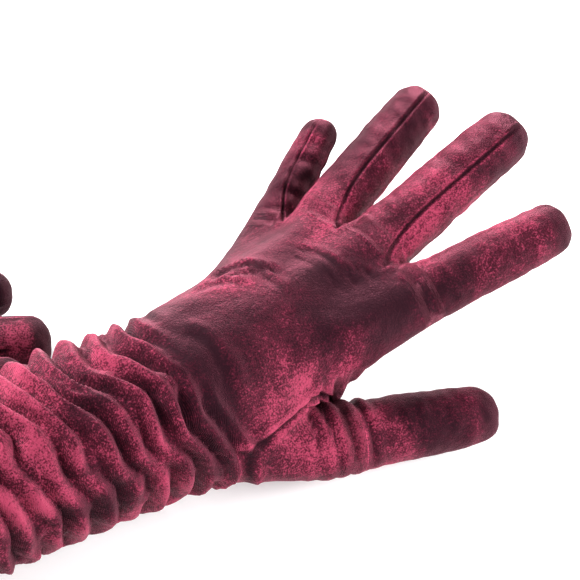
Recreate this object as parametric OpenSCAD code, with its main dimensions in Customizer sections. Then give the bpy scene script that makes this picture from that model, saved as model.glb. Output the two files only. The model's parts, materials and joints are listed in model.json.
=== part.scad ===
// A pair of opera gloves in stretch velvet, held open in the shape of the hands that fill them.
// The left glove lies palm down with spread fingers; the right one lies palm up behind it.
// Origin: on the table, under the centre of the pair. +X runs along the sleeves to the fingertips.

/* [Sleeve] */
// Length of each sleeve from the hem's edge to the wrist
sleeve_length = 290; // [220:5:340]
// Outer radius of the arm opening
hem_radius = 42; // [38:0.5:48]
// Width of the turned hem
hem_width = 14; // [8:1:20]
// Outer half width of the sleeve at the wrist
wrist_half_width = 32; // [29:0.5:35]
// Outer half height of the sleeve at the wrist
wrist_half_height = 30; // [27:0.5:33]

/* [Cloth] */
// Thickness of one layer of velvet, stretched
cloth = 1.2; // [0.8:0.1:1.6]
// Gap left between two pieces that turn against each other
fold_gap = 0.4; // [0.3:0.1:0.8]

/* [Fingers] */
// Length of the index finger from its root to its tip
index_length = 66; // [58:1:76]
// Length of the middle finger
middle_length = 74; // [64:1:84]
// Length of the ring finger
ring_length = 68; // [58:1:78]
// Length of the little finger
little_length = 54; // [46:1:62]
// Radius of the index finger at its root
index_radius = 11; // [9:0.25:11.5]
// Radius of the middle finger at its root
middle_radius = 11; // [9:0.25:11.5]
// Radius of the ring finger at its root
ring_radius = 10; // [8:0.25:10.5]
// Radius of the little finger at its root
little_radius = 8.5; // [7:0.25:9]
// Radius at a fingertip, as a share of the radius at the root
tip_taper = 0.86; // [0.7:0.02:1]
// Distance from a finger's root to its middle joint, as a share of its length
middle_joint = 0.34; // [0.3:0.02:0.4]

/* [Thumb] */
// Length of the thumb from its root to its tip
thumb_length = 60; // [50:1:70]
// Radius of the thumb at its root
thumb_radius = 12.5; // [10:0.25:13.5]
// Distance from the thumb's root to its joint, as a share of its length
thumb_joint = 0.45; // [0.4:0.02:0.5]

/* [Hand] */
// Distance from the wrist to the root of the middle finger
palm_length = 104; // [92:1:116]
// Half of the hand's breadth between the index and ring fingers' roots
palm_half_breadth = 26; // [24:0.5:30]

/* [Motion] */
// How far a finger bends towards the palm at its root
finger_bend = 70; // [20:5:70]
// How far a finger bends towards the back of the hand
finger_lift = 25; // [10:5:30]
// Turn of a finger's middle joint for each degree at its root
joint_ratio = 1; // [0.8:0.1:1.1]
// How far the wrist bends either way
wrist_bend = 40; // [20:5:45]

/* [Pair] */
// Distance between the two sleeves' axes
pair_spacing = 104; // [100:1:130]
// How far the right glove lies behind the left one
pair_shift = 190; // [150:5:240]

/* [Hidden] */
SIDES = ["left", "right"];
LEFT = 0;
RIGHT = 1;
THUMB = 0;
INDEX = 1;
MIDDLE = 2;
RING = 3;
LITTLE = 4;
FINGERS = [INDEX, MIDDLE, RING, LITTLE];

// The ring of points round a digit has 16 corners; a quarter of it is one seam-to-seam panel.
RING_STEPS = 16;
STEP = 360 / RING_STEPS;
QUARTER = RING_STEPS / 4;
SLEEVE_STEPS = 32;
SLEEVE_ROWS = 8;
// A digit is a little flatter than it is wide
FLATNESS = 0.93;
// A bending axis lies this share of the radius below the digit's centre line
AXIS_DROP = 0.5;

// How each hand is held: turn of the palm at the wrist, then of each digit against the palm
PALM_TURN = [17, -10];
DIGIT_TURN = [[-28, -17, -4, 7, 19], [-16, -4, -1, 2, 6]];
DIGIT_RISE = [[-6, 7, 14, 14, 16], [-10, 7, 12, 12, 14]];
// Ring steps by which each digit's seams are turned: the outer fingers lie rolled outwards
SEAM_TURN = [0, 0, 0, 1, 2];

velvet = [0.36, 0.07, 0.13];
velvet_dark = [0.24, 0.04, 0.08];
velvet_light = [0.47, 0.12, 0.19];

thumb_bend = 40;
thumb_ratio = 0.8;
axis_height = hem_radius;
digit_radii = [thumb_radius, index_radius, middle_radius, ring_radius, little_radius];
digit_lengths = [thumb_length, index_length, middle_length, ring_length, little_length];
joint_shares = [thumb_joint, middle_joint, middle_joint, middle_joint, middle_joint];
bend_limits = [thumb_bend, finger_bend, finger_bend, finger_bend, finger_bend];
bend_ratios = [thumb_ratio, joint_ratio, joint_ratio, joint_ratio, joint_ratio];

// Roots of the digits in the palm's own frame, as seen from the wrist
digit_roots = [
    [palm_length * 0.47, -palm_half_breadth - 15, -25],
    [palm_length * 0.965, -palm_half_breadth - 3, 2],
    [palm_length, -palm_half_breadth * 0.12, 8],
    [palm_length * 0.965, palm_half_breadth * 0.82, 7],
    [palm_length * 0.86, palm_half_breadth * 0.82 + ring_radius + little_radius, -2]
];

function turned(p, a) = [p.x * cos(a) - p.y * sin(a), p.x * sin(a) + p.y * cos(a), p.z];
function along(yaw, rise) = [cos(rise) * cos(yaw), cos(rise) * sin(yaw), sin(rise)];
function across(yaw) = [-sin(yaw), cos(yaw), 0];
function mix(a, b, t) = a + (b - a) * t;

// A digit's frame: root, direction, direction towards the little finger, direction of the back
function digit_yaw(side, k) = PALM_TURN[side] + DIGIT_TURN[side][k];
function digit_root(side, k) = turned(digit_roots[k], PALM_TURN[side]);
function digit_dir(side, k) = along(digit_yaw(side, k), DIGIT_RISE[side][k]);
function digit_side(side, k) = across(digit_yaw(side, k));
function digit_back(side, k) = cross(digit_dir(side, k), digit_side(side, k));
function joint_at(k) = digit_lengths[k] * joint_shares[k];
function radius_at(k, s) = digit_radii[k] * mix(1, tip_taper, s / digit_lengths[k]);

// Room for a bend: how far an end face stands off its hinge plane at a height above the centre line
function relief(h, drop, lift, bend) =
    fold_gap / 2 + (h > -drop ? (h + drop) * tan(lift / 2) : -(h + drop) * tan(bend / 2));
function digit_relief(k, s, h, ratio) =
    relief(h, AXIS_DROP * radius_at(k, s) * FLATNESS, finger_lift * ratio, bend_limits[k] * ratio);
function wrist_relief(h) = relief(h, 0, wrist_bend, wrist_bend);

// One point of a digit: s along it, phi round it, inset from its outer face
function digit_point(side, k, s, phi, inset, r) =
    digit_root(side, k) + digit_dir(side, k) * s
    + digit_side(side, k) * (r - inset) * cos(phi)
    + digit_back(side, k) * (r * FLATNESS - inset) * sin(phi);
// The same, on an end face that is cut back for the bend at s0; facing is -1 for the face before it
function hinge_point(side, k, s0, phi, inset, facing, ratio) =
    let (r = radius_at(k, s0), h = (r * FLATNESS - inset) * sin(phi))
    digit_point(side, k, s0 + facing * digit_relief(k, s0, h, ratio), phi, inset, r);

// Corner angles from the seam before a panel to the seam after it, running over the back first
function panel_angles(first, count) = [for (i = [0:count]) 180 - (first + i) * STEP];

function base_rows(side, k, phis, inset) = [
    [for (a = phis) hinge_point(side, k, 0, a, inset, 1, 1)],
    [for (a = phis) digit_point(side, k, joint_at(k) / 2, a, inset, radius_at(k, joint_at(k) / 2))],
    [for (a = phis) hinge_point(side, k, joint_at(k), a, inset, -1, bend_ratios[k])]
];

// Rounded end of a digit: how far each ring is from the tip, and its radius, as shares of the last radius
TIP_RINGS = [[1.1, 1], [0.55, 0.88], [0.2, 0.6]];
function tip_radius(k) = digit_radii[k] * tip_taper;
function tip_start(k) = digit_lengths[k] - TIP_RINGS[0][0] * tip_radius(k);
function tip_rows(side, k, phis, inset) = concat(
    [[for (a = phis) hinge_point(side, k, joint_at(k), a, inset, 1, bend_ratios[k])]],
    [for (s = [mix(joint_at(k), tip_start(k), 0.5)])
        [for (a = phis) digit_point(side, k, s, a, inset, radius_at(k, s))]],
    [for (g = TIP_RINGS)
        [for (a = phis) digit_point(side, k, digit_lengths[k] - inset - g[0] * (tip_radius(k) - inset),
            a, 0, g[1] * (tip_radius(k) - inset))]]
);
function tip_apex(side, k, inset) = digit_root(side, k) + digit_dir(side, k) * (digit_lengths[k] - inset);

// The hand's cloth runs in columns from the wrist's ring to the roots of the digits.
HAND_ROWS = [0, 0.25, 0.5, 0.72, 0.88];
// Height of the smooth knuckle line beside a finger, as a share of the finger's radius
KNUCKLE_FILL = 0.75;
// How far the webs between the fingers stand back from the hinges
WEB_SETBACK = 1;
// Where the thumb piece starts and ends round the wrist
GUSSET_FIRST = 228;
GUSSET_LAST = 150;

function root_end(side, k, phi, inset) =
    let (setback = inset + (k == THUMB ? 0 : WEB_SETBACK))
    hinge_point(side, k, 0, phi, inset, -1, 1) - digit_dir(side, k) * setback * abs(cos(phi));
function knuckle_height(phi, up) = mix(KNUCKLE_FILL, 1, abs(sin(phi))) * up;
function root_fill(side, k, phi, inset, up) =
    let (r = radius_at(k, 0))
    hinge_point(side, k, 0, phi, inset, -1, 1)
    + digit_back(side, k) * ((r * FLATNESS - inset) * (knuckle_height(phi, up) - sin(phi)));

// A column's end is [point it ends at, point that the flat of the hand aims at].
function finger_half(side, k, up, inset) = [
    for (i = [0:RING_STEPS / 2])
        let (phi = up > 0 ? 180 - i * STEP : -i * STEP)
        [root_end(side, k, phi, inset), root_fill(side, k, phi, inset, up)]
];
function crotch_end(side, inset) =
    let (p = root_end(side, THUMB, 0, inset)) [p, p];
function back_ends(side, inset) = concat(
    [crotch_end(side, inset)],
    [for (k = FINGERS) each finger_half(side, k, 1, inset)]
);
function palm_ends(side, inset) = concat(
    [for (k = [LITTLE, RING, MIDDLE, INDEX]) each finger_half(side, k, -1, inset)],
    [crotch_end(side, inset)]
);
// The thumb piece goes round the thumb and leaves a small slit where its two edges meet
function gusset_ends(side, inset) =
    let (slit = asin(fold_gap / 2 / thumb_radius)) [
        for (i = [0:RING_STEPS])
            [
                root_end(side, THUMB, mix(-slit, slit - 360, i / RING_STEPS), inset),
                root_end(side, THUMB, -i * STEP, inset)
            ]
    ];

function wrist_point(phi, inset, facing) =
    let (h = (wrist_half_height - inset) * sin(phi))
    [facing * wrist_relief(h), (wrist_half_width - inset) * cos(phi), h];
function hand_rows(ends, first, last, inset) =
    let (n = len(ends) - 1)
    concat(
        [for (t = HAND_ROWS)
            [for (j = [0:n]) mix(wrist_point(mix(first, last, j / n), inset, 1), ends[j][1], t)]],
        [[for (j = [0:n]) ends[j][0]]]
    );
function back_rows(side, inset) = hand_rows(back_ends(side, inset), GUSSET_LAST, 0, inset);
function palm_rows(side, inset) = hand_rows(palm_ends(side, inset), 0, GUSSET_FIRST - 360, inset);
function gusset_rows(side, inset) = hand_rows(gusset_ends(side, inset), GUSSET_FIRST, GUSSET_LAST, inset);

// The sleeve: round at the hem, and the wrist's oval at its other end
function sleeve_share(i) = i / SLEEVE_ROWS;
function sleeve_size(t, wrist_size) = mix(wrist_size, hem_radius, pow(1 - t, 1.3));
function sleeve_row(t, inset) = [
    for (i = [0:SLEEVE_STEPS - 1])
        let (
            phi = 180 - i * 360 / SLEEVE_STEPS,
            y = (sleeve_size(t, wrist_half_width) - inset) * cos(phi),
            z = (sleeve_size(t, wrist_half_height) - inset) * sin(phi),
            start = hem_width - sleeve_length,
            end = wrist_point(phi, inset, -1).x
        )
        [mix(start, end, t), y, z]
];
function sleeve_rows(inset) = [for (i = [0:SLEEVE_ROWS]) sleeve_row(sleeve_share(i), inset)];

// Origin of the pair: middle of its box, at the table
function place(side, p) =
    side == LEFT ? [p.x, p.y, p.z + axis_height]
    : [p.x - pair_shift, p.y + pair_spacing, axis_height - p.z];
function tip_points(side) = [
    for (k = [THUMB, each FINGERS], row = tip_rows(side, k, panel_angles(0, RING_STEPS), 0), p = row)
        place(side, p)
];
function end_points(side) = concat(
    tip_points(side),
    [for (k = [THUMB, each FINGERS]) place(side, tip_apex(side, k, 0))],
    [for (row = gusset_rows(side, 0), p = row) place(side, p)],
    [for (row = back_rows(side, 0), p = row) place(side, p)],
    [place(side, [-sleeve_length, hem_radius, 0]), place(side, [-sleeve_length, -hem_radius, 0])]
);
pair_points = concat(end_points(LEFT), end_points(RIGHT));
pair_x = [for (p = pair_points) p.x];
pair_y = [for (p = pair_points) p.y];
centre = [(min(pair_x) + max(pair_x)) / 2, (min(pair_y) + max(pair_y)) / 2, 0];

// A piece of cloth between an outer and an inner grid of points, rows running towards the fingertips.
// apex closes the last row to a tip; closed joins the last column to the first.
module cloth_piece(outer, inner, apex = [], closed = false) {
    m = len(outer);
    n = len(outer[0]);
    last = closed ? n - 1 : n - 2;
    function o(i, j) = i * n + j % n;
    function q(i, j) = m * n + o(i, j);
    tip_o = 2 * m * n;
    tip_q = tip_o + 1;
    capped = len(apex) == 2;
    faces = concat(
        [for (i = [0:m - 2], j = [0:last]) each [
            [o(i, j), o(i, j + 1), o(i + 1, j + 1)],
            [o(i, j), o(i + 1, j + 1), o(i + 1, j)],
            [q(i, j), q(i + 1, j + 1), q(i, j + 1)],
            [q(i, j), q(i + 1, j), q(i + 1, j + 1)]
        ]],
        [for (j = [0:last]) each [
            [o(0, j), q(0, j + 1), o(0, j + 1)],
            [o(0, j), q(0, j), q(0, j + 1)]
        ]],
        capped ? [for (j = [0:last]) each [
            [o(m - 1, j), o(m - 1, j + 1), tip_o],
            [q(m - 1, j), tip_q, q(m - 1, j + 1)]
        ]] : [for (j = [0:last]) each [
            [o(m - 1, j), o(m - 1, j + 1), q(m - 1, j + 1)],
            [o(m - 1, j), q(m - 1, j + 1), q(m - 1, j)]
        ]],
        closed ? [] : [for (i = [0:m - 2]) each [
            [o(i, 0), o(i + 1, 0), q(i + 1, 0)],
            [o(i, 0), q(i + 1, 0), q(i, 0)],
            [o(i, n - 1), q(i + 1, n - 1), o(i + 1, n - 1)],
            [o(i, n - 1), q(i, n - 1), q(i + 1, n - 1)]
        ]],
        closed || !capped ? [] : [
            [o(m - 1, 0), tip_o, tip_q],
            [o(m - 1, 0), tip_q, q(m - 1, 0)],
            [o(m - 1, n - 1), tip_q, tip_o],
            [o(m - 1, n - 1), q(m - 1, n - 1), tip_q]
        ]
    );
    points = concat([for (row = outer) each row], [for (row = inner) each row], apex);
    polyhedron(points = points, faces = faces);
}

// Puts a glove's own frame, centred on the wrist, into the pair's frame
module placed(side) {
    translate(-centre)
        if (side == LEFT) {
            translate([0, 0, axis_height]) children();
        } else {
            translate([-pair_shift, pair_spacing, axis_height]) mirror([0, 0, 1]) children();
        }
}

module sleeve(side) {
    color(velvet)
        placed(side)
            cloth_piece(sleeve_rows(0), sleeve_rows(cloth), closed = true);
}

module hem(side) {
    color(velvet_dark)
        placed(side)
            translate([-sleeve_length, 0, 0])
                rotate([0, 90, 0])
                    rotate_extrude($fn = 96)
                        translate([hem_radius - 2 * cloth, 0])
                            square([2 * cloth, hem_width]);
}

module hand_back(side) {
    color(velvet)
        placed(side)
            cloth_piece(back_rows(side, 0), back_rows(side, cloth));
}

module hand_palm(side) {
    color(velvet_dark)
        placed(side)
            cloth_piece(palm_rows(side, 0), palm_rows(side, cloth));
}

module thumb_gusset(side) {
    color(velvet_light)
        placed(side)
            cloth_piece(gusset_rows(side, 0), gusset_rows(side, cloth));
}

// Part of a digit's tube, from its root to its joint
module digit_base(side, k, first, count, shade) {
    whole = count == RING_STEPS;
    phis = panel_angles(first, whole ? count - 1 : count);
    color(shade)
        placed(side)
            cloth_piece(base_rows(side, k, phis, 0), base_rows(side, k, phis, cloth), closed = whole);
}

// Part of a digit's tube, from its joint to its tip
module digit_tip(side, k, first, count, shade) {
    whole = count == RING_STEPS;
    phis = panel_angles(first, whole ? count - 1 : count);
    color(shade)
        placed(side)
            cloth_piece(
                tip_rows(side, k, phis, 0),
                tip_rows(side, k, phis, cloth),
                apex = [tip_apex(side, k, 0), tip_apex(side, k, cloth)],
                closed = whole
            );
}

module digit_part(side, k, at_tip, first, count, shade) {
    if (at_tip) {
        digit_tip(side, k, first, count, shade);
    } else {
        digit_base(side, k, first, count, shade);
    }
}

// First corner of the thumb-side strip; the back, the far strip and the palm follow it round
function strip_first(k) = SEAM_TURN[k] - QUARTER / 2;
function back_first(k) = strip_first(k) + QUARTER;
function far_strip_first(k) = back_first(k) + QUARTER;
function palm_first(k) = far_strip_first(k) + QUARTER;

module thumb_part(side, at_tip) {
    digit_part(side, THUMB, at_tip, 0, RING_STEPS, velvet_light);
}
// The index finger's cloth folds round the thumb side, so only the far side has a strip
module index_wrap(side, at_tip) {
    digit_part(side, INDEX, at_tip, palm_first(INDEX), 3 * QUARTER, velvet);
}
module index_strip(side, at_tip) {
    digit_part(side, INDEX, at_tip, far_strip_first(INDEX), QUARTER, velvet_light);
}
module finger_back(side, k, at_tip) {
    digit_part(side, k, at_tip, back_first(k), QUARTER, velvet);
}
module finger_palm(side, k, at_tip) {
    digit_part(side, k, at_tip, palm_first(k), QUARTER, velvet_dark);
}
module finger_strips(side, k, at_tip) {
    digit_part(side, k, at_tip, strip_first(k), QUARTER, velvet_light);
    digit_part(side, k, at_tip, far_strip_first(k), QUARTER, velvet_light);
}
// The little finger has a plain side seam on its outer side, half way round its far quarter
module little_back(side, at_tip) {
    digit_part(side, LITTLE, at_tip, back_first(LITTLE), 1.5 * QUARTER, velvet);
}
module little_palm(side, at_tip) {
    digit_part(side, LITTLE, at_tip, far_strip_first(LITTLE) + QUARTER / 2, 1.5 * QUARTER, velvet_dark);
}
module little_strip(side, at_tip) {
    digit_part(side, LITTLE, at_tip, strip_first(LITTLE), QUARTER, velvet_light);
}

HAND_PIECES = ["sleeve", "hem", "hand_back", "hand_palm", "thumb_gusset"];
DIGIT_PIECES = [
    "thumb", "index_wrap", "index_fourchette", "middle_back", "middle_palm", "middle_fourchettes",
    "ring_back", "ring_palm", "ring_fourchettes", "little_back", "little_palm", "little_fourchette"
];
ENDS = ["base", "tip"];

module hand_piece(side, piece) {
    if (piece == "sleeve") sleeve(side);
    if (piece == "hem") hem(side);
    if (piece == "hand_back") hand_back(side);
    if (piece == "hand_palm") hand_palm(side);
    if (piece == "thumb_gusset") thumb_gusset(side);
}
module digit_piece(side, piece, at_tip) {
    if (piece == "thumb") thumb_part(side, at_tip);
    if (piece == "index_wrap") index_wrap(side, at_tip);
    if (piece == "index_fourchette") index_strip(side, at_tip);
    if (piece == "middle_back") finger_back(side, MIDDLE, at_tip);
    if (piece == "middle_palm") finger_palm(side, MIDDLE, at_tip);
    if (piece == "middle_fourchettes") finger_strips(side, MIDDLE, at_tip);
    if (piece == "ring_back") finger_back(side, RING, at_tip);
    if (piece == "ring_palm") finger_palm(side, RING, at_tip);
    if (piece == "ring_fourchettes") finger_strips(side, RING, at_tip);
    if (piece == "little_back") little_back(side, at_tip);
    if (piece == "little_palm") little_palm(side, at_tip);
    if (piece == "little_fourchette") little_strip(side, at_tip);
}

for (side = [LEFT, RIGHT]) {
    for (piece = HAND_PIECES) {
        hand_piece(side, piece);
    }
    for (piece = DIGIT_PIECES, e = [0, 1]) {
        digit_piece(side, piece, e == 1);
    }
}
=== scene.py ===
"""A pair of ruched opera gloves in burgundy stretch velvet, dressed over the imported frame."""
import json
import math

import bpy
import numpy as np
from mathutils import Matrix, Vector


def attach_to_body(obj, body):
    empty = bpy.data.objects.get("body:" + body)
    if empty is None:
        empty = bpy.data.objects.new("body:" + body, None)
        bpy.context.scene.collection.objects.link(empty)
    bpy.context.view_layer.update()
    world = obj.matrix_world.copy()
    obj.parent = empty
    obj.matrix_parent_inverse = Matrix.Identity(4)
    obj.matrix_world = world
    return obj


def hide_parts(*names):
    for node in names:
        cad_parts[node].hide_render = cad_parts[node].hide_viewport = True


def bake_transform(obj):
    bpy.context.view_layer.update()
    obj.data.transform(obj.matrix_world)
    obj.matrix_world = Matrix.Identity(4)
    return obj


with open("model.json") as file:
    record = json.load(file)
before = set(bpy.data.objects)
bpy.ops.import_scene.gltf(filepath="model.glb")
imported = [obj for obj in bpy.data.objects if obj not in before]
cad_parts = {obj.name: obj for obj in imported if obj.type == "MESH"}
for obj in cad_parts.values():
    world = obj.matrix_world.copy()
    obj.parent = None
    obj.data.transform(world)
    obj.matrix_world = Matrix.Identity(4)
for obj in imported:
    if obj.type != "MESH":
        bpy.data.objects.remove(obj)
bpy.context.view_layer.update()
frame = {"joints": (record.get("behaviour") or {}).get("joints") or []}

MM = 0.001
SIDES = ("left", "right")
FINGERS = ("index", "middle", "ring", "little")
DIGITS = ("thumb",) + FINGERS

# Shape of each digit in millimetres and degrees. roll turns the seams so that the thumb side shows;
# shift is how far the cloth stands off the digit's axis, (towards the little finger, towards the back),
# at the root and at the tip.
SHAPE = {
    "thumb": dict(length=60.0, root=13.8, tip=10.8, roll=0.0, shift=((0.6, 0.6), (0.6, 0.8))),
    "index": dict(length=65.0, root=11.6, tip=9.9, roll=4.0, shift=((0.0, 0.6), (0.4, 1.2))),
    "middle": dict(length=76.0, root=12.2, tip=10.4, roll=9.0, shift=((-0.8, 0.0), (-0.6, -0.6))),
    "ring": dict(length=70.5, root=11.0, tip=9.5, roll=24.0, shift=((-0.6, 0.0), (-0.8, -0.6))),
    "little": dict(length=53.0, root=8.6, tip=7.2, roll=50.0, shift=((-1.4, -0.4), (-1.6, -0.8))),
}
CAD_RADIUS = {"thumb": 12.5, "index": 11.0, "middle": 11.0, "ring": 10.0, "little": 8.5}
FLATNESS = 0.95
# A closed cubic spline through eight corners lies inside them by this much
CAGE = 1.108
# The arm's ring has twenty corners, so it shrinks less
ARM_CAGE = 1.017
SLEEVE_LENGTH = 290.0
HEM_WIDTH = 14.0
HEM_RADIUS = 42.0
WRIST_WIDTH = 32.0
WRIST_HEIGHT = 30.0
CLOTH = 1.1
LEVELS = 3

joints = {j["name"]: j for j in frame["joints"]}


def unit(v):
    return v / np.linalg.norm(v)


def smooth(a, b, x):
    t = np.clip((x - a) / (b - a), 0.0, 1.0)
    return t * t * (3 - 2 * t)


# ---------------------------------------------------------------- noise
rng = np.random.default_rng(7)
PERM = rng.permutation(256)
GRAD = rng.normal(size=(256, 3))
GRAD /= np.linalg.norm(GRAD, axis=1, keepdims=True)


def noise(p):
    """Gradient noise of points (n, 3), about -1 to 1."""
    p = np.asarray(p, float)
    cell = np.floor(p).astype(int)
    f = p - cell
    w = f * f * f * (f * (f * 6 - 15) + 10)
    total = np.zeros(len(p))
    for dx in (0, 1):
        for dy in (0, 1):
            for dz in (0, 1):
                h = PERM[(cell[:, 2] + dz) % 256]
                h = PERM[(h + cell[:, 1] + dy) % 256]
                h = PERM[(h + cell[:, 0] + dx) % 256]
                g = np.einsum("ij,ij->i", GRAD[h], f - [dx, dy, dz])
                wx = w[:, 0] if dx else 1 - w[:, 0]
                wy = w[:, 1] if dy else 1 - w[:, 1]
                wz = w[:, 2] if dz else 1 - w[:, 2]
                total += g * wx * wy * wz
    return total * 1.7


# ---------------------------------------------------------------- skeleton
class Glove:
    """One glove's skeleton in its own frame: millimetres from the wrist, +z towards the back of the hand."""

    def __init__(self, side):
        self.side = side
        self.flip = 1.0 if side == "left" else -1.0
        self.wrist = np.array(joints[side + "_wrist"]["pos_m"])
        self.digits = {}
        for k in DIGITS:
            root = self.local(joints[f"{side}_{k}_root"]["pos_m"])
            mid = self.local(joints[f"{side}_{k}_joint"]["pos_m"])
            d = unit(mid - root)
            across = unit(np.array([-d[1], d[0], 0.0]))
            back = np.cross(d, across)
            centre = root + back * 0.5 * 0.93 * CAD_RADIUS[k]
            self.digits[k] = dict(
                SHAPE[k], name=k, centre=centre, d=d, across=across, back=back, hinge=root,
                joint=float(np.dot(mid - root, d)),
            )

    def local(self, p):
        return (np.asarray(p, float) - self.wrist) * [1, 1, self.flip] / MM

    def world(self, p):
        return np.asarray(p, float) * [1, 1, self.flip] * MM + self.wrist


def radius_at(g, s):
    t = min(max(s / g["length"], 0.0), 1.0)
    return g["root"] + (g["tip"] - g["root"]) * t


def digit_point(g, s, angle, r, flat=FLATNESS):
    """A point round a digit; angle 0 looks to the little finger, 90 to the back of the hand."""
    twist = g["roll"] * float(smooth(0.0, 20.0, s))
    a = math.radians(angle - twist)
    t = min(max(s / g["length"], 0.0), 1.0)
    (a0, b0), (a1, b1) = g["shift"]
    return (
        g["centre"] + g["d"] * s
        + g["across"] * (r * math.cos(a) + a0 + (a1 - a0) * t)
        + g["back"] * (r * flat * math.sin(a) + b0 + (b1 - b0) * t)
    )


RING = (135, 90, 45, 0, -45, -90, -135, 180)
BACK, PALM, NEAR, FAR = "back", "palm", "near", "far"
RING_PANELS = (BACK, BACK, FAR, FAR, PALM, PALM, NEAR, NEAR)


class Cage:
    def __init__(self):
        self.points = []
        self.faces = []
        self.tags = []

    def add(self, p):
        self.points.append(np.asarray(p, float))
        return len(self.points) - 1

    def ring_between(self, a, b, tags):
        for j in range(len(a)):
            j2 = (j + 1) % len(a)
            self.faces.append((a[j], b[j], b[j2], a[j2]))
            self.tags.append(tags[j])


# Places along the arm in millimetres from the wrist; the cuff piece starts at the first
CUFF = (-29.0, 15.0)
# Corners of the hand's ring: nine over the back, one on the little finger's side, nine under the palm
TOP = 9
THUMB_ROWS = (1, 2, 3)
HAND_STEPS = (0.0, 0.15, 0.31, 0.47, 0.65, 0.83)
WRIST_TOP = np.linspace(150, 24, TOP)
WRIST_LOW = np.linspace(-24, -132, TOP)


def wrist_ring(x, width, height):
    angles = list(WRIST_TOP) + [0.0] + list(WRIST_LOW) + [189.0]
    return [
        np.array([x, width * math.cos(math.radians(a)), height * math.sin(math.radians(a))])
        for a in angles
    ]


def sleeve_radii(x):
    t = 1 + x / (SLEEVE_LENGTH - HEM_WIDTH)
    t = min(max(t, 0.0), 1.0)
    grow = (1 - t) ** 1.3
    return (
        WRIST_WIDTH + (HEM_RADIUS - WRIST_WIDTH) * grow,
        WRIST_HEIGHT + (HEM_RADIUS - WRIST_HEIGHT) * grow,
    )


def web_points(a, b):
    """Top, middle and bottom corners of the web between two fingers."""
    out = []
    for angle, s in ((45, -5.0), (0, 1.5), (-45, -3.0)):
        pa = digit_point(a, s, angle, radius_at(a, 0) * CAGE)
        pb = digit_point(b, s, 180 - angle, radius_at(b, 0) * CAGE)
        out.append((pa + pb) / 2)
    return out


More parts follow.
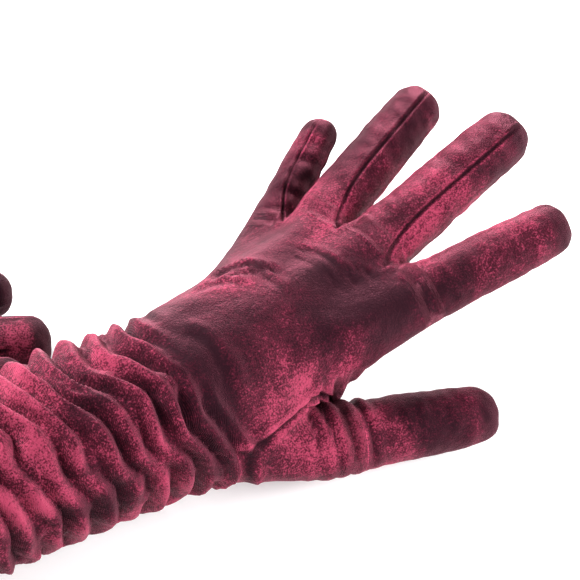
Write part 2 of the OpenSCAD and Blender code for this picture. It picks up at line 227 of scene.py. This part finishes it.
def build_cage(glove):
    cage = Cage()
    g = glove.digits
    fingers = [g[k] for k in FINGERS]
    # Root corners: columns 0..8 over the back, and the same under the palm
    top, low = [None] * TOP, [None] * TOP
    for i, f in enumerate(fingers):
        r = radius_at(f, 0) * CAGE
        top[2 * i + 1] = digit_point(f, -3.0, 90, r * 1.02)
        low[2 * i + 1] = digit_point(f, -1.0, -90, r)
    webs = [web_points(fingers[i], fingers[i + 1]) for i in range(3)]
    for i, (t, m, b) in enumerate(webs):
        top[2 * i + 2], low[2 * i + 2] = t, b
    idx, lit = fingers[0], fingers[3]
    top[0] = digit_point(idx, -3.0, 135, idx["root"] * CAGE)
    low[0] = digit_point(idx, -2.0, -135, idx["root"] * CAGE)
    top[8] = digit_point(lit, -3.0, 45, lit["root"] * CAGE)
    low[8] = digit_point(lit, -2.0, -45, lit["root"] * CAGE)
    root_side_little = digit_point(lit, -2.0, 0, lit["root"] * CAGE)
    root_side_index = digit_point(idx, -2.0, 180, idx["root"] * CAGE)
    end = top + [root_side_little] + low[::-1] + [root_side_index]
    # ring order: top 0..8, little side, low 8..0, index side
    names = (
        [("T", i) for i in range(TOP)] + [("SR", 0)]
        + [("B", i) for i in range(TOP - 1, -1, -1)] + [("SL", 0)]
    )
    col = {n: i for i, n in enumerate(names)}
    start = wrist_ring(0, WRIST_WIDTH * ARM_CAGE, WRIST_HEIGHT * ARM_CAGE)
    rows = []
    # sleeve rows, from the hem's edge to the wrist
    sleeve_x = list(np.linspace(-SLEEVE_LENGTH, -14.0, 36)) + [-7.0]
    for x in sleeve_x:
        w, h = sleeve_radii(x)
        rows.append([cage.add(p) for p in wrist_ring(x, w * ARM_CAGE, h * ARM_CAGE)])
    n_sleeve = len(rows)
    th = g["thumb"]
    tr = th["root"] * CAGE

    def thumb_corner(s, angle, grow=1.0):
        return digit_point(th, s, angle, tr * grow)

    for i, t in enumerate(HAND_STEPS):
        ring = []
        for j, (kind, n) in enumerate(names):
            a, b = start[j], end[j]
            p = a + (b - a) * t
            ease = t * t * (3 - 2 * t)
            if kind == "T":
                # the back of the hand stays full to the knuckles
                p[2] = a[2] + (b[2] - a[2]) * (0.35 * t + 0.65 * ease)
            if kind == "B":
                p[2] = a[2] + (b[2] - a[2]) * (0.2 * t + 0.8 * ease)
            ring.append(p)
        hollow = math.sin(math.pi * t)
        for n in range(2, 7):
            ring[col[("B", n)]][2] += 1.5 * hollow
        # the little finger's side of the hand pulls in between the wrist and the knuckles
        for key, pull in ((("T", 6), 1.0), (("T", 7), 3.0), (("T", 8), 5.0), (("SR", 0), 6.0),
                          (("B", 8), 5.0), (("B", 7), 3.0)):
            ring[col[key]][1] -= pull * hollow
            if key[0] == "T":
                ring[col[key]][2] -= 0.6 * pull * hollow
        if i == 1:
            ring[col[("T", 1)]] += [0.0, -2.5, -4.5]
            ring[col[("T", 0)]] = np.array([16.0, -30.5, -8.0])
            ring[col[("SL", 0)]] = np.array([16.5, -29.5, -20.0])
            ring[col[("B", 0)]] = ring[col[("B", 0)]] * 0.6 + thumb_corner(-36, -130, 0.9) * 0.4 - [0, 0, 2.0]
        if i == 2:
            ring[col[("T", 1)]] += [0.5, -4.5, -5.5]
            ring[col[("T", 0)]] = np.array([31.0, -30.0, -3.0])
            ring[col[("SL", 0)]] = thumb_corner(-20, 180, 1.1) - [0, 2.5, 2.5]
            ring[col[("B", 0)]] = ring[col[("B", 0)]] * 0.25 + thumb_corner(-20, -90, 1.12) * 0.75
            ring[col[("B", 1)]] = ring[col[("B", 1)]] * 0.7 + thumb_corner(-20, -50, 1.2) * 0.3
        if i == 3:
            ring[col[("T", 1)]] += [1.0, -4.0, -4.5]
            ring[col[("T", 0)]] = np.array([51.5, -20.5, -5.5])
            ring[col[("SL", 0)]] = np.array([66.5, -11.0, -18.0])
            ring[col[("B", 0)]] = ring[col[("B", 0)]] * 0.3 + thumb_corner(-3, -45, 1.1) * 0.7
        if i == 4:
            side = ring[col[("SL", 0)]]
            ring[col[("SL", 0)]] = side * 0.8 + thumb_corner(10, 5, 1.0) * 0.2
        rows.append([cage.add(p) for p in ring])
    rows.append([cage.add(p) for p in end])
    n = len(rows)
    wrist_row = n_sleeve

    def column_tags(i):
        """Panel of every column between ring rows i and i + 1."""
        if i < 2:
            return ["hem"] * len(names)
        if sleeve_x[min(i + 1, n_sleeve - 1)] < CUFF[0]:
            return ["sleeve"] * len(names)
        if i < wrist_row + THUMB_ROWS[0]:
            return ["cuff"] * len(names)
        thumb = i < wrist_row + THUMB_ROWS[2]
        tags = []
        for kind, c in names:
            if kind == "T":
                tags.append("hand_back")
            elif kind == "SL":
                tags.append("thumb_gusset" if thumb else "hand_back")
            else:
                tags.append("thumb_gusset" if thumb and (kind, c) == ("B", 0) else "hand_palm")
        return tags

    a0, a2 = wrist_row + THUMB_ROWS[0], wrist_row + THUMB_ROWS[2]
    for i in range(n - 1):
        tags = column_tags(i)
        for j in range(len(names)):
            j2 = (j + 1) % len(names)
            kind, c = names[j]
            in_hole = a0 <= i < a2 and (kind == "SL" or (kind == "B" and c == 0))
            if in_hole:
                continue
            cage.faces.append((rows[i][j], rows[i + 1][j], rows[i + 1][j2], rows[i][j2]))
            cage.tags.append(tags[j])
    # fingers
    mids = [cage.add(m) for (_, m, _) in webs]
    last = rows[-1]

    def T(c):
        return last[col[("T", c)]]

    def B(c):
        return last[col[("B", c)]]

    roots = {
        "index": (T(0), T(1), T(2), mids[0], B(2), B(1), B(0), last[col[("SL", 0)]]),
        "middle": (T(2), T(3), T(4), mids[1], B(4), B(3), B(2), mids[0]),
        "ring": (T(4), T(5), T(6), mids[2], B(6), B(5), B(4), mids[1]),
        "little": (T(6), T(7), T(8), last[col[("SR", 0)]], B(8), B(7), B(6), mids[2]),
    }
    r1, r2, r3 = (rows[wrist_row + r] for r in THUMB_ROWS)
    t0, b0, sl = col[("T", 0)], col[("B", 0)], col[("SL", 0)]
    roots["thumb"] = (r1[t0], r2[t0], r3[t0], r3[sl], r3[b0], r2[b0], r1[b0], r1[sl])
    for k in DIGITS:
        add_digit(cage, g[k], roots[k])
    return cage


# Where a digit's cloth passes from its root's piece to its tip's piece
SPLIT = {"thumb": 17.0, "index": 15.0, "middle": 16.5, "ring": 15.5, "little": 12.5}


def panel_node(k, j, zone):
    """Name of the piece that side j of a digit's eight belongs to."""
    if k == "thumb":
        return "thumb_gusset" if zone == "gusset" else f"thumb_{zone}"
    panel = RING_PANELS[j]
    if k == "index":
        return f"index_{'fourchette' if panel == FAR else 'wrap'}_{zone}"
    if k == "little":
        panel = {2: BACK, 3: PALM}.get(j, panel)
        return f"little_{'fourchette' if panel == NEAR else panel}_{zone}"
    return f"{k}_{'fourchettes' if panel in (NEAR, FAR) else panel}_{zone}"


def add_digit(cage, g, root):
    k = g["name"]
    length, cut, tip = g["length"], SPLIT[k], g["tip"]
    stations = [(6.0, 1.0, "base"), (cut, 1.0, "base")]
    if k == "thumb":
        stations = [(-9.0, 1.06, "gusset"), (1.5, 1.0, "gusset"), (9.0, 0.97, "base"), (cut, 0.96, "base")]
    straight = length - 0.95 * tip
    steps = 3 if k == "little" else 4
    for i in range(1, steps + 1):
        stations.append((cut + (straight - cut) * i / steps, 1.0, "tip"))
    stations += [(length - 0.42 * tip, 0.93, "tip"), (length - 0.06 * tip, 0.66, "tip")]
    prev = list(root)
    for s, grow, zone in stations:
        r = radius_at(g, s) * CAGE * grow
        ring = [cage.add(digit_point(g, s, a, r)) for a in RING]
        cage.ring_between(prev, ring, [panel_node(k, j, zone) for j in range(len(RING))])
        prev = ring
    centre = cage.add(digit_point(g, length + 0.12 * tip, 0, 0.0))
    for q in (0, 2, 4, 6):
        cage.faces.append((prev[(q + 2) % 8], prev[q + 1], prev[q], centre))
        cage.tags.append(panel_node(k, q, "tip"))


def subdivide(cage, levels):
    """Catmull-Clark surface of a cage: points, quads and the cage tag of every quad."""
    names = sorted(set(cage.tags))
    mesh = bpy.data.meshes.new("cage")
    mesh.from_pydata([tuple(p) for p in cage.points], [], cage.faces)
    for i in range(len(names)):
        mesh.materials.append(bpy.data.materials.new(f"tag{i}"))
    mesh.polygons.foreach_set("material_index", [names.index(t) for t in cage.tags])
    obj = bpy.data.objects.new("cage", mesh)
    bpy.context.scene.collection.objects.link(obj)
    mod = obj.modifiers.new("s", "SUBSURF")
    mod.levels = levels
    mod.render_levels = levels
    mod.quality = 3
    done = obj.evaluated_get(bpy.context.evaluated_depsgraph_get()).to_mesh()
    n, m = len(done.vertices), len(done.polygons)
    co = np.zeros(n * 3, np.float32)
    done.vertices.foreach_get("co", co)
    quads = np.zeros(m * 4, np.int32)
    done.loops.foreach_get("vertex_index", quads)
    tags = np.zeros(m, np.int32)
    done.polygons.foreach_get("material_index", tags)
    mats = [m for m in mesh.materials]
    bpy.data.objects.remove(obj)
    bpy.data.meshes.remove(mesh)
    for m in mats:
        bpy.data.materials.remove(m)
    return co.reshape(-1, 3).astype(float), quads.reshape(-1, 4), tags, names


def vertex_normals(co, quads):
    d1 = co[quads[:, 2]] - co[quads[:, 0]]
    d2 = co[quads[:, 3]] - co[quads[:, 1]]
    fn = np.cross(d1, d2)
    out = np.zeros_like(co)
    for c in range(4):
        np.add.at(out, quads[:, c], fn)
    return out / np.maximum(np.linalg.norm(out, axis=1, keepdims=True), 1e-12)


# ---------------------------------------------------------------- cloth detail
def wave(p, sharp):
    """Rounded folds with narrow valleys between them, 0 to 1."""
    return np.abs(np.sin(np.pi * p)) ** sharp


def swell(p):
    """Rounded folds with rounded valleys between them, 0 to 1."""
    return (0.5 - 0.5 * np.cos(2 * np.pi * p)) ** 0.6


def sleeve_folds(co, nrm):
    """Ruching: oblique rounded folds round the arm, strongest behind the wrist."""
    x, y, z = co.T
    phi = np.arctan2(z, y)
    ring = np.stack([np.cos(phi) * 1.1, np.sin(phi) * 1.1, x / 40.0], axis=1)
    near = np.cos(phi - math.radians(205))
    slant = 9.0 * np.cos(phi - math.radians(222)) + 1.6 * np.cos(2 * phi + 0.6)
    wander = noise(ring) * 6.0 + noise(ring * 2.3 + 11.3) * 1.6
    pitch = 9.3
    p = (x - slant + wander) / pitch
    split = (x - slant * 0.6 + wander * 1.6 + 6.0 * np.sin(phi + 1.0)) / (pitch * 0.62)
    fade = 0.5 + 0.5 * noise(ring * [1.7, 1.7, 3.4] + 4.7)
    h1 = swell(p) * (0.45 + 0.75 * np.clip(fade, 0, 1))
    h2 = swell(split) * np.clip(0.85 - fade, 0, 0.6)
    h = np.maximum(h1, h2) + 0.25 * np.minimum(h1, h2)
    reach = 3.0 + 19.0 * np.clip(near, 0, 1)
    amount = smooth(reach + 8.0, reach - 7.0, x)
    amount = amount * (0.5 + 0.5 * smooth(-235.0, -70.0, x))
    amount = amount * (0.06 + 0.94 * smooth(-SLEEVE_LENGTH + 12, -SLEEVE_LENGTH + 42, x))
    small = np.stack([np.cos(phi) * 5, np.sin(phi) * 5, (x - slant) / 2.6], axis=1)
    out = (h * 6.2 - 3.6 + 0.22 * noise(small)) * amount
    lean = (h - 0.5) * 1.1 * amount
    # The second value, fold height, is later painted into the base colour: painted highlight on the crests,
    # painted shade in the valleys.
    return co + nrm * out[:, None] + np.outer(lean, [1.0, 0.0, 0.0]), (h - 0.45) * amount


# Folds over the back of the hand: corners from the wrist in millimetres, width, height
HAND_FOLDS = (
    (((28.0, 27.0), (38.0, 33.0), (50.0, 32.0), (58.0, 25.0), (61.0, 13.0)), 1.5, 1.7),
    (((34.0, 26.0), (44.0, 29.5), (52.0, 26.0), (56.0, 18.0), (57.0, 8.0)), 1.3, 1.3),
    (((22.0, 24.0), (32.0, 28.0), (42.0, 25.0), (48.0, 17.0)), 1.4, 0.9),
    (((70.0, 36.0), (75.0, 30.0), (79.0, 22.0), (83.0, 13.0), (87.0, 4.0)), 1.2, 1.3),
    (((66.0, 33.0), (72.0, 26.0), (75.0, 17.0), (80.0, 8.0)), 1.1, 1.0),
    (((84.0, 18.0), (90.0, 12.0), (93.0, 6.0)), 1.0, 0.9),
    (((12.0, 12.0), (20.0, 2.0), (24.0, -12.0), (20.0, -26.0)), 2.6, 1.0),
)


def hand_folds(co, nrm):
    out = np.zeros(len(co))
    up = smooth(0.15, 0.55, nrm[:, 2])
    for path, width, height in HAND_FOLDS:
        pts = np.array(path)
        total = len(pts) - 1
        best = np.full(len(co), 1e9)
        side = np.zeros(len(co))
        where = np.zeros(len(co))
        for i in range(total):
            a, b = pts[i], pts[i + 1]
            ab = b - a
            t = np.clip(((co[:, :2] - a) @ ab) / (ab @ ab), 0, 1)
            d = co[:, :2] - (a + t[:, None] * ab)
            dist = np.linalg.norm(d, axis=1)
            take = dist < best
            best = np.where(take, dist, best)
            side = np.where(take, np.sign(ab[0] * d[:, 1] - ab[1] * d[:, 0]), side)
            where = np.where(take, (i + t) / total, where)
        ends = smooth(0.0, 0.25, where) * smooth(1.0, 0.7, where)
        signed = best * side
        ridge = np.exp(-((signed / width) ** 2))
        valley = np.exp(-(((signed + 1.9 * width) / (1.1 * width)) ** 2))
        out += height * ends * up * (ridge - 0.75 * valley)
    return out


def digit_wrinkles(co, nrm, glove):
    """Small creases across the digits, puckers round the thumb's root and slack under the fingertips."""
    out = np.zeros(len(co))
    for k, g in glove.digits.items():
        rel = co - g["centre"]
        s = rel @ g["d"]
        a = np.arctan2(rel @ g["back"], rel @ g["across"])
        off = np.linalg.norm(rel - np.outer(s, g["d"]), axis=1)
        reach = smooth(2.1 * g["root"], 1.5 * g["root"], off)
        on = reach * smooth(-6.0, 6.0, s)
        sample = np.stack([np.cos(a) * 1.2, np.sin(a) * 1.2, s / 4.5], axis=1) + 7.0 * len(k)
        out += on * 0.28 * noise(sample)
        if k == "thumb":
            pucker = reach * smooth(-24.0, -10.0, s) * smooth(16.0, 4.0, s)
            topside = 0.35 + 0.65 * smooth(-0.3, 0.7, np.sin(a))
            bend = s + 1.6 * np.cos(a) + 1.2 * noise(sample * 0.5)
            out += pucker * topside * (2.3 * wave(bend / 6.4, 0.9) - 1.4)
        if k == "little":
            lens = reach * smooth(2.0, 8.0, s) * smooth(g["length"] - 4, g["length"] - 12, s)
            turn = np.cos(a - math.radians(180 - g["roll"]))
            fold = (s + 2.4 * np.sin(a) + 1.8 * noise(sample * 0.6)) / 8.2
            out += lens * smooth(0.3, 0.9, turn) * (0.55 * wave(fold, 1.1) - 0.3)
    return out


def seam_class(name):
    """Pieces cut from one cloth share a class; a seam runs wherever the class changes."""
    digit = name.split("_")[0]
    if "fourchette" in name:
        return digit + "_fourchette"
    if name.startswith("thumb"):
        return "thumb"
    return "hem" if name == "hem" else "trank"


def seam_relief(co, quads, tags, names):
    """Stitched grooves with the cloth rolled up beside them."""
    classes = sorted({seam_class(n) for n in names})
    of_tag = np.array([classes.index(seam_class(n)) for n in names])
    face_class = of_tag[tags]
    low = np.full(len(co), 99)
    high = np.full(len(co), -1)
    for c in range(4):
        np.minimum.at(low, quads[:, c], face_class)
        np.maximum.at(high, quads[:, c], face_class)
    on_seam = low != high
    beside = np.zeros(len(co), bool)
    touched = on_seam[quads].any(axis=1)
    beside[quads[touched].ravel()] = True
    beside &= ~on_seam
    far = np.zeros(len(co), bool)
    far[quads[beside[quads].any(axis=1)].ravel()] = True
    far &= ~on_seam & ~beside
    return -0.75 * on_seam + 0.55 * beside + 0.2 * far


def make_glove(side):
    glove = Glove(side)
    co, quads, tags, names = subdivide(build_cage(glove), LEVELS)
    nrm = vertex_normals(co, quads)
    knit = knit_coordinates(co, glove)
    seams = seam_relief(co, quads, tags, names)
    for g in glove.digits.values():
        rel = co - g["centre"]
        s = rel @ g["d"]
        near = np.linalg.norm(rel - np.outer(s, g["d"]), axis=1) < 2.0 * g["root"]
        seams = np.where(near, seams * smooth(g["length"] - 1.0, g["length"] - 7.0, s), seams)
    # the set-in thumb's seam is the thickest one
    thumb = (co[:, 0] < 72.0) & (co[:, 1] < -5.0) & (co[:, 2] < 6.0)
    seams = np.where(thumb, seams * 1.6, seams)
    # the nap is crushed unevenly, so the surface is never quite smooth
    crush = 0.32 * noise(co / 9.0 + 31.7) + 0.16 * noise(co / 3.6 + 5.1)
    creases = hand_folds(co, nrm) + digit_wrinkles(co, nrm, glove)
    lift = creases + seams + crush
    moved = co + nrm * lift[:, None]
    moved, fold = sleeve_folds(moved, nrm)
    # The velvet's base colour: crushed-pile tone with painted highlight and painted shade.
    pile_and_shade = pile_and_painted_shade(co, nrm, glove, fold)
    # Painted highlight on crease ridges and painted shade in their valleys; painted highlight on the cloth
    # rolled up beside the seams and painted shade in their grooves.
    pile_and_shade += 0.075 * np.clip(creases, -1.6, 1.2)
    pile_and_shade += np.where(seams > 0.4, 0.09, 0.0) - np.where(seams < -0.4, 0.2, 0.0)
    # nothing sinks into the table
    table = glove.wrist[2] / MM - 0.4
    moved[:, 2] = np.maximum(moved[:, 2], -table) if glove.flip > 0 else np.minimum(moved[:, 2], table)
    return glove, moved, quads, tags, names, (*knit, pile_and_shade)


# Patches of darker (amount below 0) and lighter base colour on upward faces, partly crushed-pile tone and
# partly painted shade: x, y, radius in millimetres, amount
PILE_AND_SHADE_PATCHES = (
    (25.0, -4.0, 13.0, -0.13), (84.0, -6.0, 13.0, -0.13), (74.0, 14.0, 9.0, -0.12), (62.0, -6.0, 9.0, -0.07),
    (44.0, 24.0, 13.0, 0.03), (50.0, 4.0, 11.0, 0.03), (92.0, 22.0, 9.0, -0.05),
    (62.0, -12.0, 9.0, -0.10), (31.0, -24.0, 5.0, 0.06), (42.0, -20.0, 5.0, 0.05),
)


def pile_and_painted_shade(co, nrm, glove, fold):
    """How much lighter (above 0) and darker (below 0) the base colour is at every point, about -0.2 to 0.2:
    painted highlight on the sleeve's fold crests and painted shade in its valleys, patches partly
    crushed-pile tone and partly painted shade, the fingertips darker, and painted highlight over the thumb.
    """
    # Painted highlight on the sleeve's fold crests and painted shade in its valleys; the hand a little
    # darker.
    pile_and_shade = 0.17 * fold - 0.055 * smooth(-5.0, 15.0, co[:, 0]) * smooth(115.0, 95.0, co[:, 0])
    up = smooth(0.0, 0.4, nrm[:, 2])
    for x, y, radius, amount in PILE_AND_SHADE_PATCHES:
        d = np.hypot(co[:, 0] - x, (co[:, 1] - y) * 0.8) / radius
        pile_and_shade += amount * up * np.exp(-d * d)
    for k, g in glove.digits.items():
        rel = co - g["centre"]
        s = rel @ g["d"]
        near = smooth(1.9 * g["root"], 1.4 * g["root"], np.linalg.norm(rel - np.outer(s, g["d"]), axis=1))
        pile_and_shade -= 0.20 * near * smooth(g["length"] - 11, g["length"] - 6, s)
        if k == "thumb":
            # Painted highlight over the thumb.
            pile_and_shade += 0.06 * near * smooth(-45.0, -20.0, s) * smooth(40.0, 20.0, s)
    return pile_and_shade


# Spacing of the rows of stitches in millimetres
ARM_STITCH = 1.15
DIGIT_STITCH = 0.85


def knit_coordinates(co, glove):
    """(row of stitches, place along it) at every point; a row runs round the arm or finger."""
    row = co[:, 0] / ARM_STITCH
    phi = np.arctan2(co[:, 2], co[:, 1])
    col = phi * 30.0
    for g in glove.digits.values():
        rel = co - g["centre"]
        s = rel @ g["d"]
        off = np.linalg.norm(rel - np.outer(s, g["d"]), axis=1)
        w = smooth(-4.0, 6.0, s) * smooth(1.9 * g["root"], 1.4 * g["root"], off)
        row = row * (1 - w) + (s / DIGIT_STITCH) * w
    return row, col


# ---------------------------------------------------------------- materials
def velvet(name, shade=1.0):
    """Crushed stretch velvet: dark where the pile is seen end on, pink along its sides."""
    mat = bpy.data.materials.new(name)
    mat.use_nodes = True
    nt = mat.node_tree
    nt.nodes.clear()

    def node(kind, **inputs):
        n = nt.nodes.new(kind)
        for key, value in inputs.items():
            n.inputs[key.replace("_", " ")].default_value = value
        return n

    def math_node(op, a, b):
        n = nt.nodes.new("ShaderNodeMath")
        n.operation = op
        for socket, value in zip(n.inputs, (a, b)):
            if isinstance(value, (int, float)):
                socket.default_value = value
            else:
                nt.links.new(value, socket)
        return n.outputs[0]

    out = node("ShaderNodeOutputMaterial")
    bsdf = node("ShaderNodeBsdfPrincipled")
    nt.links.new(bsdf.outputs[0], out.inputs[0])
    coord = node("ShaderNodeTexCoord")
    patches = node("ShaderNodeTexNoise", Scale=34.0, Detail=3.0, Roughness=0.5, Distortion=0.5)
    speck = node("ShaderNodeTexNoise", Scale=1500.0, Detail=1.0, Roughness=0.6)
    flecks = node("ShaderNodeTexNoise", Scale=380.0, Detail=2.0, Roughness=0.6)
    for n in (patches, speck, flecks):
        nt.links.new(coord.outputs["Object"], n.inputs["Vector"])
    uv = node("ShaderNodeUVMap")
    uv.uv_map = "knit"
    ribs = node("ShaderNodeTexWave", Scale=1.0, Distortion=0.8, Detail=1.0)
    ribs.wave_type = "BANDS"
    ribs.bands_direction = "X"
    nt.links.new(uv.outputs[0], ribs.inputs["Vector"])
    nap_and_shade = math_node("MULTIPLY", speck.outputs[0], 0.50)
    nap_and_shade = math_node("ADD", nap_and_shade, math_node("MULTIPLY", flecks.outputs[0], 0.22))
    nap_and_shade = math_node("ADD", nap_and_shade, math_node("MULTIPLY", patches.outputs[0], 0.8))
    nap_and_shade = math_node("ADD", nap_and_shade, math_node("MULTIPLY", ribs.outputs["Fac"], 0.07))
    # This attribute adds painted highlight and painted shade, with the crushed-pile patches, to the base
    # colour.
    pile_and_shade_attr = node("ShaderNodeAttribute")
    pile_and_shade_attr.attribute_name = "pile_and_shade"
    nap_and_shade = math_node("ADD", nap_and_shade, pile_and_shade_attr.outputs["Fac"])
    ramp = node("ShaderNodeValToRGB")
    e = ramp.color_ramp.elements
    e[0].position = 0.65
    e[0].color = (0.011 * shade, 0.0022 * shade, 0.0052 * shade, 1)
    e[1].position = 0.96
    e[1].color = (0.34 * shade, 0.040 * shade, 0.086 * shade, 1)
    middle = e.new(0.81)
    middle.color = (0.062 * shade, 0.0066 * shade, 0.0165 * shade, 1)
    nt.links.new(nap_and_shade, ramp.inputs[0])
    nt.links.new(ramp.outputs[0], bsdf.inputs["Base Color"])
    bsdf.inputs["Roughness"].default_value = 0.62
    bsdf.inputs["Specular IOR Level"].default_value = 0.12
    bsdf.inputs["Specular Tint"].default_value = (1.0, 0.35, 0.5, 1)
    bsdf.inputs["Sheen Roughness"].default_value = 0.25
    bsdf.inputs["Sheen Tint"].default_value = (1.0, 0.27, 0.39, 1)
    bsdf.inputs["Sheen Weight"].default_value = 0.5
    height = math_node("MULTIPLY", speck.outputs[0], 0.45)
    height = math_node("ADD", height, math_node("MULTIPLY", flecks.outputs[0], 0.6))
    height = math_node("ADD", height, math_node("MULTIPLY", ribs.outputs["Fac"], 0.30))
    height = math_node("ADD", height, math_node("MULTIPLY", patches.outputs[0], 3.0))
    bump = node("ShaderNodeBump", Strength=0.8, Distance=0.0007)
    nt.links.new(height, bump.inputs["Height"])
    nt.links.new(bump.outputs[0], bsdf.inputs["Normal"])
    return mat


# Copies of one velvet: the thumb's a little lighter as painted highlight, the fourchettes' much lighter as
# painted sheen, the hem's a little darker.
MATERIALS = {
    "velvet": velvet("burgundy_velvet"),
    "thumb_velvet": velvet("thumb_velvet", 1.04),
    "fourchette_velvet": velvet("fourchette_velvet", 1.25),
    "hem_velvet": velvet("hem_velvet", 0.95),
}


# ---------------------------------------------------------------- pieces
def cut_piece(name, glove, co, quads, nrm, knit, slot):
    """One cloth piece of the glove's surface, given its thickness inwards."""
    used, inverse = np.unique(quads, return_inverse=True)
    f = inverse.reshape(-1, 4)
    n = len(used)
    outer = glove.world(co[used])
    out_n = nrm[used] * [1, 1, glove.flip]
    inner = outer - out_n * CLOTH * MM
    direct = np.concatenate([f[:, [0, 1]], f[:, [1, 2]], f[:, [2, 3]], f[:, [3, 0]]])
    low, high = direct.min(axis=1).astype(np.int64), direct.max(axis=1)
    _, first, count = np.unique(low * (n + 1) + high, return_index=True, return_counts=True)
    rim = direct[first[count == 1]]
    walls = np.stack([rim[:, 1], rim[:, 0], rim[:, 0] + n, rim[:, 1] + n], axis=1)
    faces = np.concatenate([f, f[:, ::-1] + n, walls]).astype(np.int32)
    if glove.flip < 0:
        faces = faces[:, ::-1]
    mesh = bpy.data.meshes.new(name)
    mesh.vertices.add(2 * n)
    mesh.vertices.foreach_set("co", np.concatenate([outer, inner]).astype(np.float32).ravel())
    mesh.loops.add(faces.size)
    mesh.loops.foreach_set("vertex_index", faces.ravel())
    mesh.polygons.add(len(faces))
    mesh.polygons.foreach_set("loop_start", np.arange(0, faces.size, 4, dtype=np.int32))
    mesh.update(calc_edges=True)
    layer = mesh.uv_layers.new(name="knit")
    per_vertex = np.stack([knit[0][used], knit[1][used]], axis=1)
    per_vertex = np.concatenate([per_vertex, per_vertex])[faces.ravel()]
    layer.data.foreach_set("uv", per_vertex.astype(np.float32).ravel())
    pile_and_shade = mesh.attributes.new("pile_and_shade", "FLOAT", "POINT")
    pile_and_shade.data.foreach_set("value", np.tile(knit[-1][used], 2).astype(np.float32))
    mesh.materials.append(MATERIALS[slot])
    mesh.polygons.foreach_set("use_smooth", np.ones(len(faces), bool))
    mesh.normals_split_custom_set_from_vertices(np.concatenate([out_n, -out_n]))
    obj = bpy.data.objects.new(name, mesh)
    bpy.context.scene.collection.objects.link(obj)
    return obj


def slot_of(node):
    if node == "hem":
        return "hem_velvet"
    if "fourchette" in node:
        return "fourchette_velvet"
    return "thumb_velvet" if node.startswith("thumb") else "velvet"


def attach(obj, glove, node):
    """Rides a piece on its body or bakes its transform in place, and hides the CAD part that it stands for,
    all but the cuff's.
    """
    side = glove.side
    if node != "cuff":
        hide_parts(f"{side}_{node}")
    if node in ("sleeve", "hem"):
        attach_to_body(obj, side + "_sleeve")
    elif node == "cuff":
        a, b = (glove.world([x, 0, 0]) for x in (CUFF[0] + 5, CUFF[1] - 4))
        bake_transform(obj)
    elif node in ("hand_back", "hand_palm", "thumb_gusset"):
        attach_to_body(obj, side + "_hand")
    else:
        k, zone = node.split("_")[0], node.split("_")[-1]
        g = glove.digits[k]
        cut = SPLIT[k]
        if zone == "base":
            start, end, pair = 2.8, cut - 1.5, (f"{side}_hand", f"{side}_{k}_base")
        else:
            start, end, pair = cut + 1.5, 2 * g["joint"] - cut, (f"{side}_{k}_base", f"{side}_{k}_tip")
        a, b = (glove.world(g["hinge"] + g["d"] * s) for s in (start, end))
        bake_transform(obj)


def dress(side):
    glove, co, quads, tags, names, knit = make_glove(side)
    nrm = vertex_normals(co, quads)
    for t, node in enumerate(names):
        slot = slot_of(node)
        obj = cut_piece(f"{side}_{node}_cloth", glove, co, quads[tags == t], nrm, knit, slot)
        attach(obj, glove, node)
        declare(node)


def declare(node):
    """Takes a piece's name and does nothing with it."""
    if node == "sleeve":
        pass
    elif node == "hem":
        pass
    elif node == "cuff":
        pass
    elif node == "hand_back":
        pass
    elif node == "hand_palm":
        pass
    elif node == "thumb_gusset":
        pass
    else:
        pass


for side in SIDES:
    dress(side)

# ---------------------------------------------------------------- floor, light, camera
scene = bpy.context.scene
floor_mat = bpy.data.materials.new("floor")
floor_mat.use_nodes = True
paint = floor_mat.node_tree.nodes["Principled BSDF"]
paint.inputs["Base Color"].default_value = (0.97, 0.97, 0.975, 1)
paint.inputs["Roughness"].default_value = 0.75
paint.inputs["Specular IOR Level"].default_value = 0.2
paint.inputs["Emission Color"].default_value = (1, 1, 1, 1)
paint.inputs["Emission Strength"].default_value = 0.14
bpy.ops.mesh.primitive_plane_add(size=8, location=(0, 0, 0))
floor = bpy.context.object
floor.name = "floor"
floor.data.materials.append(floor_mat)

world = bpy.data.worlds.new("studio")
scene.world = world
world.use_nodes = True
world.node_tree.nodes["Background"].inputs[0].default_value = (1, 1, 1, 1)
world.node_tree.nodes["Background"].inputs[1].default_value = 0.8
target = Vector((0.2218, -0.0206, 0.041))


def softbox(name, offset, size, power):
    light = bpy.data.lights.new(name, "AREA")
    light.size = size
    light.energy = power
    obj = bpy.data.objects.new(name, light)
    scene.collection.objects.link(obj)
    obj.location = target + Vector(offset)
    obj.rotation_euler = (-Vector(offset)).to_track_quat("-Z", "Y").to_euler()


softbox("key", (-0.6, 0.8, 0.6), 0.5, 44)
softbox("fill", (0.75, -0.75, 0.45), 0.6, 24)

AZIMUTH, ELEVATION, DISTANCE = math.radians(-28), math.radians(46), 0.70
cam_data = bpy.data.cameras.new("camera")
cam_data.sensor_width = 36
cam_data.lens = 117.3
cam_data.clip_start = 0.01
camera = bpy.data.objects.new("camera", cam_data)
scene.collection.objects.link(camera)
away = Vector((
    math.sin(AZIMUTH) * math.cos(ELEVATION),
    -math.cos(AZIMUTH) * math.cos(ELEVATION),
    math.sin(ELEVATION),
))
camera.location = target + away * DISTANCE
camera.rotation_euler = (-away).to_track_quat("-Z", "Y").to_euler()
scene.camera = camera
scene.view_settings.view_transform = "Standard"
